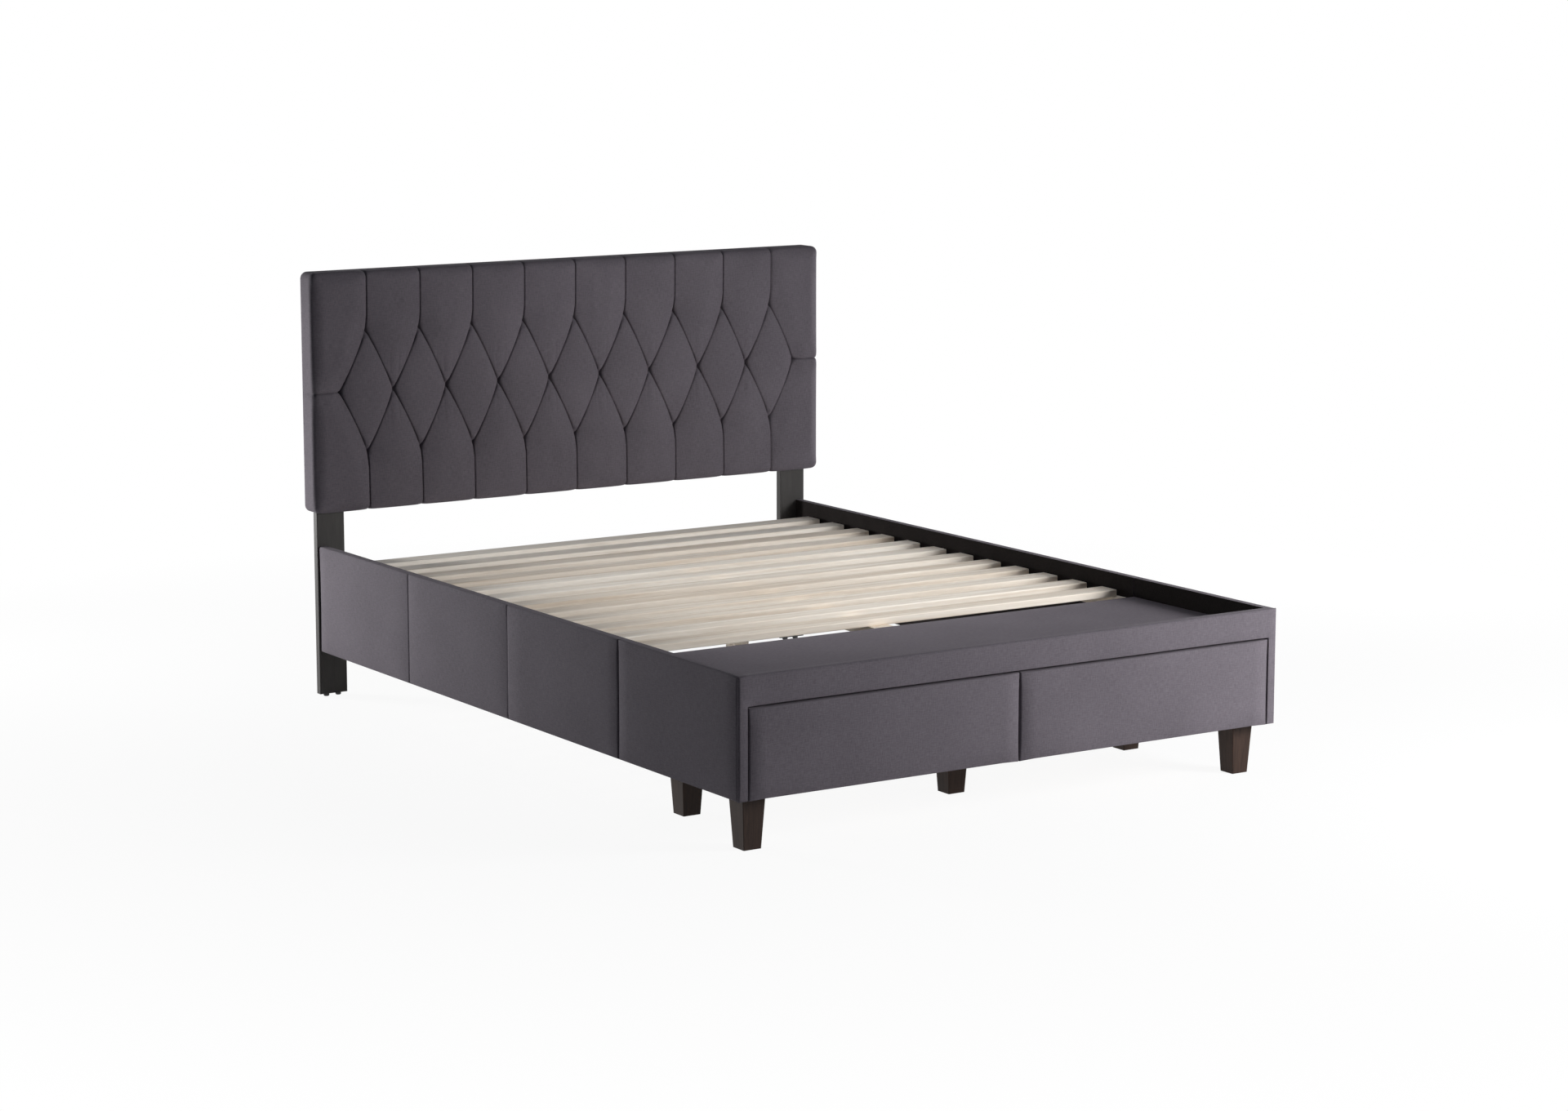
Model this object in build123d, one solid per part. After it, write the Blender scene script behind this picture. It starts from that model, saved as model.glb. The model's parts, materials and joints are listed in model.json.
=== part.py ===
"""Upholstered platform bed with two storage drawers in its foot, in millimetres.

Lengths along the bed are measured from the padded front face of the foot (y = 0) towards
the headboard. The finished pieces are shifted so that the origin lies on the floor, in the
middle of the whole bed. +X is to the right when the bed is seen from its foot.
"""
import math
import os

from build123d import *

# Overall sizes
bed_width = 1590.0
rail_length = 2156.0
leg_height = 128.0
rail_height = 294.0
box_depth = 541.0

# Boards and their padded covers
board = 18.0
padding = 6.0
padding_flat = 1.0
seam_depth = 2.5
soft_gap = 0.3

# Side rails
rail_joint = 3.0
rear_panel_length = 528.0
panel_pitch = 538.0
cleat_size = 30.0
cleat_end_gap = 16.0

# Slats and the beam under them
slat_count = 12
slat_width = 64.0
slat_thickness = 19.0
slat_drop = 38.0
slat_end_gap = 14.0
slat_edge_radius = 3.0
first_slat_gap = 56.0
last_slat_gap = 84.8
beam_width = 58.0
beam_height = 25.0
beam_front_gap = 3.0
beam_rear_overhang = 20.0
centre_leg_size = 44.0
centre_leg_count = 3
centre_leg_front_gap = 54.0
centre_leg_rear_gap = 167.2

# Headboard posts and their glides
post_width = 83.0
post_thickness = 22.0
post_overhang = 4.0
post_edge = 2.0
glide_height = 8.0
glide_radius = 8.0
glide_spacing = 36.0
glide_edge = 2.0

# Headboard
headboard_overhang = 27.0
headboard_gap = 96.0
headboard_height = 659.0
headboard_corner = 18.0
headboard_wrap = 14.0
headboard_lip = 3.0
headboard_rear_edge = 2.5
backing = 9.0
batten = 60.0
dust_cover = 2.0
foam_at_tuft = 17.0
crown = 20.0
crown_flat = 17.6
crown_edge_run = 18.0
crown_steps = 4
pleat_half_width = 1.0
tuft_count = 9
tuft_side_margin = 84.0
tuft_row_margin = 162.5

# Storage box
deck_drop = 50.0
front_rail_height = 73.0
divider = 18.0
leg_rail_side = 150.0
leg_rail_centre = 120.0

# Tapered legs
leg_top_width = 63.0
leg_foot_width = 48.0
leg_edge = 1.5
front_leg_side_inset = 20.0
front_leg_inset = 49.0
rear_leg_side_inset = 80.0
rear_leg_inset = 81.0
middle_leg_inset = 256.0
leg_bolt_radius = 4.0
leg_bolt_length = 44.0
leg_bolt_in_rail = 14.0

# Drawers
drawer_gap = 3.5
drawer_rear_gap = 29.0
drawer_top_gap = 30.0
drawer_wall = 12.0
drawer_floor_clearance = 12.0
drawer_bottom = 5.0
groove_depth = 6.0
groove_height = 10.0
groove_play = 0.2

# Telescopic slides
slide_rear_gap = 20.0
slide_height = 45.0
slide_room = 12.7
slide_steel = 1.2
slide_play = 0.3
slide_flange = 9.6

# Angle brackets and bolts
bracket_arm = 50.0
bracket_height = 60.0
bracket_steel = 3.0
bracket_bend = 4.0
bracket_rise = 122.0
bolt_reach = 30.0
bolt_radius = 4.0
bolt_grip = 12.0
bolt_play = 0.25
bolt_head_flats = 13.0
bolt_head_height = 5.5

# Heights
rail_top = leg_height + rail_height
slat_top = rail_top - slat_drop
slat_bottom = slat_top - slat_thickness
beam_bottom = slat_bottom - beam_height
deck_top = rail_top - deck_drop
deck_underside = deck_top - padding - board
front_rail_bottom = rail_top - front_rail_height
headboard_bottom = rail_top + headboard_gap
headboard_top = headboard_bottom + headboard_height
leg_rail_top = leg_height + board
drawer_base = leg_rail_top + drawer_floor_clearance
drawer_height = deck_underside - drawer_base - drawer_top_gap
slide_middle = drawer_base + drawer_height / 2
bracket_middle = leg_height + bracket_rise

# Places across the bed
half_width = bed_width / 2
half_inner = half_width - padding - board
post_outer = half_width + post_overhang
post_middle = post_outer - post_width / 2
headboard_width = bed_width + 2 * headboard_overhang

# Places along the bed
front_rear = padding + board
box_inner_rear = box_depth - board
drawer_depth = box_inner_rear - front_rear - drawer_rear_gap
slide_length = drawer_depth - slide_rear_gap
post_front = rail_length
frame_rear = post_front + post_thickness
headboard_rear = frame_rear + dust_cover + headboard_lip
backing_front = post_front - backing
tuft_plane = backing_front - foam_at_tuft
first_slat = box_depth + first_slat_gap
last_slat = rail_length - last_slat_gap - slat_width
slat_pitch = (last_slat - first_slat) / (slat_count - 1)
beam_front = box_depth + padding + beam_front_gap
beam_rear = last_slat + slat_width + beam_rear_overhang
centre_leg_first = beam_front + centre_leg_front_gap
centre_leg_pitch = (beam_rear - centre_leg_rear_gap - centre_leg_first) / (centre_leg_count - 1)

# Padding and tufts
padding_radius = padding - padding_flat
tuft_pitch = (headboard_width - 2 * tuft_side_margin) / tuft_count
tuft_rise = headboard_height / 2 - tuft_row_margin
diamond_reach = tuft_pitch / 2 * tuft_rise / math.hypot(tuft_pitch / 2, tuft_rise)
crown_run = diamond_reach - crown_flat


def block(low_x, high_x, low_y, high_y, low_z, high_z):
    """A board given by its limits along each axis."""
    size = Box(abs(high_x - low_x), abs(high_y - low_y), abs(high_z - low_z))
    middle = Pos((low_x + high_x) / 2, (low_y + high_y) / 2, (low_z + high_z) / 2)
    return middle * size


def mirrored(part):
    """The same piece on the left half of the bed."""
    return mirror(part, about=Plane.YZ)


def both(pieces, name, part):
    """Add a right-hand piece and its left-hand twin."""
    pieces["right_" + name] = part
    pieces["left_" + name] = mirrored(part)


def group(solids):
    """Several separate solids that share one node."""
    return Compound(children=list(solids))


# Headboard

def tuft_columns(count):
    """The x places of a row of tufts, evenly spaced about the middle."""
    return [(index - (count - 1) / 2) * tuft_pitch for index in range(count)]


def cell_outlines():
    """Outlines (x, z) of the puffed cells between the pleats.

    Each outline comes with one flag per side, true where that side is the pad's own edge.
    Every side runs from its own point to the next one.
    """
    middle = headboard_bottom + headboard_height / 2
    columns = tuft_columns(tuft_count)
    half_pitch = tuft_pitch / 2
    side = headboard_width / 2
    cells = []
    for x in columns:
        points = [
            (x, middle + tuft_rise),
            (x + half_pitch, middle),
            (x, middle - tuft_rise),
            (x - half_pitch, middle),
        ]
        cells.append((points, [False] * len(points)))
    for up in (1, -1):
        row = middle + up * tuft_rise
        edge = middle + up * headboard_height / 2
        for x in columns[:-1]:
            after = x + tuft_pitch
            points = [(x, row), (x, edge), (after, edge), (after, row), (x + half_pitch, middle)]
            cells.append((points, [False, True, False, False, False]))
        for across in (1, -1):
            last = across * columns[-1]
            outer = across * side
            cut = headboard_corner
            points = [
                (last, row),
                (last, edge),
                (outer - across * cut, edge),
                (outer, edge - up * cut),
                (outer, middle),
                (last + across * half_pitch, middle),
            ]
            cells.append((points, [False, True, True, True, False, False]))
    return cells


def drawn_in(points, distances):
    """A convex outline with each of its sides moved inwards by its own distance."""
    count = len(points)
    centre_x = sum(point[0] for point in points) / count
    centre_z = sum(point[1] for point in points) / count
    lines = []
    for index, (x, z) in enumerate(points):
        next_x, next_z = points[(index + 1) % count]
        length = math.hypot(next_x - x, next_z - z)
        normal_x = (z - next_z) / length
        normal_z = (next_x - x) / length
        if normal_x * (centre_x - x) + normal_z * (centre_z - z) < 0:
            normal_x, normal_z = -normal_x, -normal_z
        lines.append((normal_x, normal_z, normal_x * x + normal_z * z + distances[index]))
    corners = []
    for index in range(count):
        a, b, c = lines[index - 1]
        d, e, f = lines[index]
        turn = a * e - b * d
        corners.append(((c * e - b * f) / turn, (a * f - c * d) / turn))
    return corners


def puffed_cell(points, on_edge):
    """One stuffed cell: sections that draw in along a quarter round up to the crown."""
    sections = []
    for step in range(crown_steps):
        angle = math.pi / 2 * step / (crown_steps - 1)
        share = 1 - math.cos(angle)
        runs = [crown_edge_run if edge else crown_run for edge in on_edge]
        distances = [pleat_half_width + share * run for run in runs]
        height = crown * math.sin(angle)
        corners = [Vector(x, tuft_plane - height, z) for x, z in drawn_in(points, distances)]
        sections.append(make_face(Polyline(*corners, close=True)))
    return loft(sections, ruled=True)


def headboard_pad():
    """Foam and fabric: a tufted front, sides that wrap the frame, and notches for the posts."""
    middle = headboard_bottom + headboard_height / 2
    outline = RectangleRounded(headboard_width, headboard_height, headboard_corner)
    slab = Pos(0, headboard_rear, middle) * Rot(90, 0, 0) * extrude(outline, headboard_rear - tuft_plane)
    rear_edges = slab.faces().sort_by(Axis.Y)[-1].edges()
    slab = chamfer(rear_edges, headboard_rear_edge)
    pad = slab + [puffed_cell(points, on_edge) for points, on_edge in cell_outlines()]
    pocket = block(
        -headboard_width / 2 + headboard_wrap,
        headboard_width / 2 - headboard_wrap,
        backing_front,
        headboard_rear,
        headboard_bottom + headboard_wrap,
        headboard_top - headboard_wrap,
    )
    pad -= pocket
    for side in (1, -1):
        pad -= block(
            side * post_middle - post_width / 2 - soft_gap,
            side * post_middle + post_width / 2 + soft_gap,
            post_front - soft_gap,
            headboard_rear,
            headboard_bottom,
            headboard_bottom + headboard_wrap,
        )
    return pad


def headboard_backing():
    """The plywood panel that the foam is laid on."""
    side = headboard_width / 2 - headboard_wrap - soft_gap
    low = headboard_bottom + headboard_wrap + soft_gap
    high = headboard_top - headboard_wrap - soft_gap
    return block(-side, side, backing_front, post_front, low, high)


def headboard_battens():
    """Top and bottom battens and a middle stile, in one plane with the posts."""
    side = headboard_width / 2 - headboard_wrap - soft_gap
    low = headboard_bottom + headboard_wrap + soft_gap
    high = headboard_top - headboard_wrap - soft_gap
    inner = post_outer - post_width
    return group([
        block(-side, side, post_front, frame_rear, high - batten, high),
        block(-inner, inner, post_front, frame_rear, low, low + batten),
        block(-batten / 2, batten / 2, post_front, frame_rear, low + batten, high - batten),
    ])


def headboard_dust_cover():
    """The thin cloth that closes the back of the headboard."""
    side = headboard_width / 2 - headboard_wrap - soft_gap
    low = headboard_bottom + headboard_wrap + soft_gap
    high = headboard_top - headboard_wrap - soft_gap
    return block(-side, side, frame_rear, frame_rear + dust_cover, low, high)


def headboard_post():
    """A flat painted post that stands on glides and ends under the top batten."""
    top = headboard_top - headboard_wrap - soft_gap - batten
    post = block(post_outer - post_width, post_outer, post_front, frame_rear, glide_height, top)
    return fillet(post.edges().filter_by(Axis.Z), post_edge)


def post_glides():
    """Two round glides under each post."""
    glide = Cylinder(glide_radius, glide_height, align=(Align.CENTER, Align.CENTER, Align.MIN))
    glide = chamfer(glide.edges().sort_by(Axis.Z)[0], glide_edge)
    row = post_front + post_thickness / 2
    places = []
    for side in (1, -1):
        for step in (-0.5, 0.5):
            places.append(Pos(side * post_middle + step * glide_spacing, row, 0) * glide)
    return group(places)


# Padded side panels

def side_board(front, rear):
    """The bare board of a right-hand side panel."""
    low = leg_height + padding
    high = rail_top - padding
    return block(half_inner, half_width - padding, front + padding, rear - padding, low, high)


def side_cover(front, rear, seams):
    """Foam and fabric round the outer face and the edges of a right-hand side panel."""
    cover = block(half_inner, half_width, front, rear, leg_height, rail_top)
    outer_edges = cover.faces().sort_by(Axis.X)[-1].edges()
    cover = fillet(outer_edges, padding_radius)
    cover -= side_board(front, rear)
    for place in seams:
        groove = Pos(half_width, place, (leg_height + rail_top) / 2) * Rot(0, 0, 45)
        side = seam_depth * math.sqrt(2)
        cover -= groove * Box(side, side, rail_top - leg_height)
    return cover


def rail_seams():
    """Where the fabric panels of a side rail are sewn together."""
    rear_seam = rail_length - rear_panel_length
    return [rear_seam, rear_seam - panel_pitch]


def slat_cleat():
    """The ledge inside a right-hand rail that carries the slat ends."""
    front = box_depth + rail_joint + cleat_end_gap
    rear = rail_length - cleat_end_gap
    return block(half_inner - cleat_size, half_inner, front, rear, slat_bottom - cleat_size, slat_bottom)


# Slats and centre support

def slat(index):
    """One cross slat with eased edges."""
    front = first_slat + index * slat_pitch
    end = half_inner - slat_end_gap
    plank = block(-end, end, front, front + slat_width, slat_bottom, slat_top)
    return fillet(plank.edges().filter_by(Axis.X), slat_edge_radius)


def centre_beam():
    """The long plank under the middle of the slats."""
    half = beam_width / 2
    return block(-half, half, beam_front, beam_rear, beam_bottom, slat_bottom)


def centre_legs():
    """Plain square legs between the floor and the beam."""
    half = centre_leg_size / 2
    legs = []
    for index in range(centre_leg_count):
        middle = centre_leg_first + index * centre_leg_pitch
        legs.append(block(-half, half, middle - half, middle + half, 0, beam_bottom))
    return group(legs)


# Storage box

def front_rail():
    """The board above the drawers, between the side panels."""
    high = rail_top - padding
    return block(-half_inner, half_inner, padding, front_rear, front_rail_bottom, high)


def front_facing():
    """Padded facing over the front rail and down the ends of both side panels."""
    facing = block(-half_width, half_width, 0, padding, leg_height, rail_top)
    front_edges = facing.faces().sort_by(Axis.Y)[0].edges()
    facing = fillet(front_edges, padding_radius)
    opening = block(-half_inner, half_inner, 0, padding, leg_height, front_rail_bottom)
    lip = block(-half_inner, half_inner, padding, front_rear, rail_top - padding, rail_top)
    lip = fillet(lip.edges().filter_by(Axis.X).sort_by(Axis.Y)[-2:].sort_by(Axis.Z)[-1], padding_radius)
    return facing - opening + lip


def deck_board():
    """The platform over the drawers."""
    high = deck_top - padding
    return block(-half_inner, half_inner, front_rear, box_depth, deck_underside, high)


def deck_cover():
    """Padded fabric on the deck, turned down over its rear edge."""
    side = half_inner - soft_gap
    front = front_rear + soft_gap
    cover = block(-side, side, front, box_depth + padding, deck_underside, deck_top)
    rear_top = cover.edges().filter_by(Axis.X).sort_by(Axis.Y)[-2:].sort_by(Axis.Z)[-1]
    cover = fillet(rear_top, padding_radius)
    return cover - block(-half_width, half_width, 0, box_depth, 0, deck_top - padding)


def box_back():
    """The rear wall of the storage box."""
    return block(-half_inner, half_inner, box_inner_rear, box_depth, leg_height, deck_underside)


def box_divider():
    """The wall between the two drawers."""
    half = divider / 2
    return block(-half, half, front_rear + drawer_gap, box_inner_rear, leg_rail_top, deck_underside)


def leg_rails():
    """Three flat rails under the box, from front to back, that the legs are bolted to."""
    front = front_rear + drawer_gap
    right = block(half_inner - leg_rail_side, half_inner, front, box_inner_rear, leg_height, leg_rail_top)
    half = leg_rail_centre / 2
    centre = block(-half, half, front, box_inner_rear, leg_height, leg_rail_top)
    return [right, mirrored(right), centre]


# Tapered legs

def leg_middles():
    """The middle (x, y) of each leg. The insets run to the outer faces of its foot."""
    half = leg_foot_width / 2
    front_x = half_inner - front_leg_side_inset - half
    front_y = front_leg_inset + half
    rear_x = half_inner - rear_leg_side_inset - half
    rear_y = box_depth - rear_leg_inset - half
    return {
        "front_right_leg": (front_x, front_y),
        "front_left_leg": (-front_x, front_y),
        "rear_right_leg": (rear_x, rear_y),
        "rear_left_leg": (-rear_x, rear_y),
        "middle_leg": (0.0, middle_leg_inset + half),
    }


def leg_bolt(radius):
    """The hanger bolt that joins a leg to the rail above it, or its hole."""
    low = leg_height + leg_bolt_in_rail - leg_bolt_length
    bolt = Cylinder(radius, leg_bolt_length, align=(Align.CENTER, Align.CENTER, Align.MIN))
    return Pos(0, 0, low) * bolt


def tapered_leg():
    """A square leg with eased edges that narrows evenly to its foot."""
    widening = (leg_top_width - leg_foot_width) / 2
    low, high = -widening, leg_foot_width + widening
    middle = (Align.CENTER, Align.MIN, Align.CENTER)
    lying = Wedge(leg_foot_width, leg_height, leg_foot_width, low, low, high, high, align=middle)
    leg = Rot(X=90) * lying
    upright = leg.edges().filter_by(lambda edge: edge.bounding_box().size.Z > leg_height / 2)
    leg = chamfer(upright, leg_edge)
    return leg - leg_bolt(leg_bolt_radius + bolt_play)


# Drawers, right-hand side

def drawer_limits():
    """The outer faces of the right-hand drawer's box, across the bed."""
    return divider / 2 + slide_room, half_inner - slide_room


def drawer_front_limits():
    """The outer limits of the right-hand drawer's padded front: x, x, z, z."""
    return drawer_gap / 2, half_inner - drawer_gap, leg_height, front_rail_bottom - drawer_gap


def drawer_panel():
    """The loose bottom panel, held in grooves all round."""
    low_x, high_x = drawer_limits()
    inset = drawer_wall - groove_depth
    front = front_rear - groove_depth
    rear = front_rear + drawer_depth - inset
    low = drawer_base + groove_height
    return block(low_x + inset, high_x - inset, front, rear, low, low + drawer_bottom)


def drawer_groove():
    """The room that the bottom panel needs in the boards round it."""
    low_x, high_x = drawer_limits()
    inset = drawer_wall - groove_depth - groove_play
    front = front_rear - groove_depth - groove_play
    rear = front_rear + drawer_depth - inset
    low = drawer_base + groove_height
    high = low + drawer_bottom + groove_play
    return block(low_x + inset, high_x - inset, front, rear, low, high)


def drawer_front_board():
    """The board behind the padded drawer front."""
    low_x, high_x, low_z, high_z = drawer_front_limits()
    front = block(
        low_x + padding,
        high_x - padding,
        padding,
        front_rear,
        low_z + padding,
        high_z - padding,
    )
    return front - drawer_groove()


def drawer_front_cover():
    """Foam and fabric over the face and the edges of the drawer front."""
    low_x, high_x, low_z, high_z = drawer_front_limits()
    cover = block(low_x, high_x, 0, front_rear, low_z, high_z)
    face_edges = cover.faces().sort_by(Axis.Y)[0].edges()
    cover = fillet(face_edges, padding_radius)
    cover -= block(low_x + padding, high_x - padding, padding, front_rear, low_z + padding, high_z - padding)
    return cover


def drawer_sides():
    """The two long walls of the drawer."""
    low_x, high_x = drawer_limits()
    rear = front_rear + drawer_depth
    top = drawer_base + drawer_height
    inner = block(low_x, low_x + drawer_wall, front_rear, rear, drawer_base, top)
    outer = block(high_x - drawer_wall, high_x, front_rear, rear, drawer_base, top)
    groove = drawer_groove()
    return group([inner - groove, outer - groove])


def drawer_back():
    """The rear wall, between the two sides."""
    low_x, high_x = drawer_limits()
    rear = front_rear + drawer_depth
    top = drawer_base + drawer_height
    wall = block(low_x + drawer_wall, high_x - drawer_wall, rear - drawer_wall, rear, drawer_base, top)
    return wall - drawer_groove()


def slide_channel(near, far, height, facing):
    """A steel channel between two distances from the fixed wall; its web is on the near side.

    The channel of a drawer has its web on the drawer's side, so facing turns it round.
    """
    web, mouth = (near, far) if facing > 0 else (far, near)
    inside = web + facing * slide_steel
    outer = height / 2
    inner = outer - slide_steel
    points = [(web, -outer), (mouth, -outer), (mouth, -inner), (inside, -inner)]
    points += [(u, -v) for u, v in reversed(points)]
    outline = make_face(Polyline(*[Vector(u, 0, v) for u, v in points], close=True))
    return extrude(outline, slide_length, dir=(0, 1, 0))


def slide_members():
    """The fixed, middle and drawer channels of one slide, one inside the other."""
    fixed = slide_channel(0, slide_flange, slide_height, 1)
    middle_height = slide_height - 2 * slide_steel - 2 * slide_play
    middle_near = slide_steel + slide_play
    middle = slide_channel(middle_near, slide_room - slide_steel - slide_play, middle_height, 1)
    drawer_height_outside = middle_height - 2 * slide_steel - 2 * slide_play
    drawer_near = middle_near + slide_steel + slide_play
    drawer = slide_channel(drawer_near, slide_room, drawer_height_outside, -1)
    return {"fixed": fixed, "middle": middle, "drawer": drawer}


def drawer_slides(member):
    """One member of both slides beside the right-hand drawer: the box wall's and the divider's."""
    channel = slide_members()[member]
    by_divider = Pos(divider / 2, front_rear, slide_middle) * channel
    by_wall = Pos(half_inner, front_rear, slide_middle) * mirrored(channel)
    return [by_divider, by_wall]


# Brackets and bolts

def bracket_corners():
    """The right-hand corners that angle brackets sit in: x, y and the way its long arm runs."""
    return [
        (half_inner, post_front, -1),
        (half_inner, box_depth, 1),
    ]


def angle_bracket(corner_x, corner_y, along):
    """A bent steel plate: one arm on the rail, one on the board across the bed."""
    low = bracket_middle - bracket_height / 2
    high = bracket_middle + bracket_height / 2
    rail_arm = block(
        corner_x - bracket_steel, corner_x, corner_y, corner_y + along * bracket_arm, low, high
    )
    cross_arm = block(
        corner_x - bracket_arm, corner_x, corner_y, corner_y + along * bracket_steel, low, high
    )
    plate = rail_arm + cross_arm
    inner_corner = Vector(corner_x - bracket_steel, corner_y + along * bracket_steel, bracket_middle)
    bend = plate.edges().filter_by(Axis.Z).sort_by_distance(inner_corner)[0]
    return fillet(bend, bracket_bend)


def bolt_places():
    """Where the bolts of the right-hand brackets enter the wood, with +Z pointing out of it."""
    places = []
    for corner_x, corner_y, along in bracket_corners():
        into_rail = Plane((corner_x, corner_y + along * bolt_reach, bracket_middle), z_dir=(-1, 0, 0))
        into_cross = Plane((corner_x - bolt_reach, corner_y, bracket_middle), z_dir=(0, along, 0))
        places += [into_rail.location, into_cross.location]
    return places


def bolt():
    """A bolt whose hexagon head sits on the outer face of a bracket."""
    base = (Align.CENTER, Align.CENTER, Align.MIN)
    shank = Pos(0, 0, -bolt_grip) * Cylinder(bolt_radius, bolt_grip + bracket_steel, align=base)
    corner_radius = bolt_head_flats / math.sqrt(3)
    head = Pos(0, 0, bracket_steel) * extrude(RegularPolygon(corner_radius, 6), bolt_head_height)
    return shank + head


def drilled(part):
    """A right-hand board or bracket with the holes for the bolts that meet it."""
    length = bolt_grip + bolt_play + bracket_steel
    hole = Cylinder(bolt_radius + bolt_play, length, align=(Align.CENTER, Align.CENTER, Align.MIN))
    hole = Pos(0, 0, -bolt_grip - bolt_play) * hole
    for place in bolt_places():
        part -= place * hole
    return part


# The whole bed

def headboard_pieces(pieces):
    """The tufted headboard and the posts that carry it."""
    pieces["headboard_pad"] = headboard_pad()
    pieces["headboard_backing"] = headboard_backing()
    pieces["headboard_battens"] = headboard_battens()
    pieces["headboard_dust_cover"] = headboard_dust_cover()
    both(pieces, "post", drilled(headboard_post()))
    pieces["post_glides"] = post_glides()


def rail_pieces(pieces):
    """The padded side rails with their cleats, brackets and bolts."""
    front = box_depth + rail_joint
    both(pieces, "rail_board", drilled(side_board(front, rail_length)))
    both(pieces, "rail_cover", side_cover(front, rail_length, rail_seams()))
    cleat = slat_cleat()
    pieces["slat_cleats"] = group([cleat, mirrored(cleat)])
    brackets = [drilled(angle_bracket(*corner)) for corner in bracket_corners()]
    pieces["angle_brackets"] = group(brackets + [mirrored(part) for part in brackets])
    bolts = [place * bolt() for place in bolt_places()]
    pieces["bracket_bolts"] = group(bolts + [mirrored(part) for part in bolts])


def slat_pieces(pieces):
    """The slats and the beam and legs under their middle."""
    for index in range(slat_count):
        pieces[f"slat_{index + 1:02d}"] = slat(index)
    pieces["centre_beam"] = centre_beam()
    pieces["centre_legs"] = centre_legs()


def box_pieces(pieces):
    """The storage box with its legs and the fixed slide channels."""
    front = padding + soft_gap
    both(pieces, "box_board", side_board(front, box_depth))
    both(pieces, "box_cover", side_cover(front, box_depth, []))
    pieces["front_rail"] = front_rail()
    pieces["front_facing"] = front_facing()
    pieces["deck_board"] = deck_board()
    pieces["deck_cover"] = deck_cover()
    back = drilled(box_back())
    pieces["box_back"] = mirrored(drilled(mirrored(back)))
    pieces["box_divider"] = box_divider()
    rails = leg_rails()
    bolts = []
    for name, (x, y) in leg_middles().items():
        place = Pos(x, y, 0)
        pieces[name] = place * tapered_leg()
        bolts.append(place * leg_bolt(leg_bolt_radius))
        hole = place * leg_bolt(leg_bolt_radius + bolt_play)
        rails = [rail - hole for rail in rails]
    pieces["leg_rails"] = group(rails)
    pieces["leg_bolts"] = group(bolts)
    fixed = drawer_slides("fixed")
    pieces["fixed_slides"] = group(fixed + [mirrored(part) for part in fixed])


def drawer_pieces(pieces):
    """Both drawers and the slide members that move with them."""
    both(pieces, "drawer_front", drawer_front_board())
    both(pieces, "drawer_front_cover", drawer_front_cover())
    both(pieces, "drawer_sides", drawer_sides())
    both(pieces, "drawer_back", drawer_back())
    both(pieces, "drawer_bottom", drawer_panel())
    both(pieces, "drawer_slides", group(drawer_slides("drawer")))
    both(pieces, "middle_slides", group(drawer_slides("middle")))


def main():
    """Build every piece, shift it to the bed's own origin and write it out."""
    pieces = {}
    headboard_pieces(pieces)
    rail_pieces(pieces)
    slat_pieces(pieces)
    box_pieces(pieces)
    drawer_pieces(pieces)
    os.makedirs("parts", exist_ok=True)
    to_origin = Pos(0, -headboard_rear / 2, 0)
    for name, part in pieces.items():
        export_step(to_origin * part, f"parts/{name}.step")
    print(len(pieces), "pieces written")


main()
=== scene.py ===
"""Dresses the upholstered platform bed: cloth over foam, pine slats, stained legs, drawers and slides."""
import json
import logging
import math
import time
from dataclasses import dataclass
from enum import Enum
from typing import Callable, Sequence

import bmesh
import bpy
import numpy as np
from bmesh.types import BMEdge, BMesh, BMFace, BMVert
from bpy.types import Material, Node, NodeSocket, NodeTree, Object
from mathutils import Matrix, Vector


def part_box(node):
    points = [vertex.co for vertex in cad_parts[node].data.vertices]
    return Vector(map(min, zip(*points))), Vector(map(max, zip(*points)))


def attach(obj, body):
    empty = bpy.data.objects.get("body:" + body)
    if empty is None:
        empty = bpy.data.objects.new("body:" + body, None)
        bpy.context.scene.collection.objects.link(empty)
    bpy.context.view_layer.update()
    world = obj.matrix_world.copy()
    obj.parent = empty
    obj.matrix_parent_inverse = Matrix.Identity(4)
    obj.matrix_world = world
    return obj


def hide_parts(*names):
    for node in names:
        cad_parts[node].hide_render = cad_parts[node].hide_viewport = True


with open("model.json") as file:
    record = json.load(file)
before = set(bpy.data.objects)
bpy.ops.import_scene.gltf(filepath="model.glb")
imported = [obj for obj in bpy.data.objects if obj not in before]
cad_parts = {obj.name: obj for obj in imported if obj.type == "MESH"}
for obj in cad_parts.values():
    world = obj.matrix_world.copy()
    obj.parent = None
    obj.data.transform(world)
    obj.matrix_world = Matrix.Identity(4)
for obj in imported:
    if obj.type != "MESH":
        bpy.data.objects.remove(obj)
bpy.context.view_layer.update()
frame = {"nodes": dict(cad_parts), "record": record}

Span = tuple[float, float]

log = logging.getLogger("bed")
MM = 0.001
NEAR = 0.1 * MM
TOUCHING = 1e-6
TINY = 1e-9
WHITE = "#ffffff"
CLOTH_UV = "cloth"
FOLD_ANGLE = math.radians(50)
FRAME_BODY = "bed_frame"
# A wave texture of scale one repeats after this length.
WAVE_TURN = math.tau / 20


# Shader helpers

def linear(hex_colour: str) -> tuple[float, float, float, float]:
    """Turn an sRGB hex colour into linear values for a shader.

    Args:
        hex_colour: a colour such as "#605b61".

    Returns:
        Red, green, blue and an alpha of one.
    """
    channels = [int(hex_colour[i:i + 2], 16) / 255 for i in (1, 3, 5)]
    red, green, blue = (c / 12.92 if c <= 0.04045 else ((c + 0.055) / 1.055) ** 2.4 for c in channels)
    return red, green, blue, 1.0


def per_metre(size_mm: float) -> float:
    """How often a pattern of this size, in millimetres, repeats along a metre."""
    return 1 / (size_mm * MM)


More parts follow.
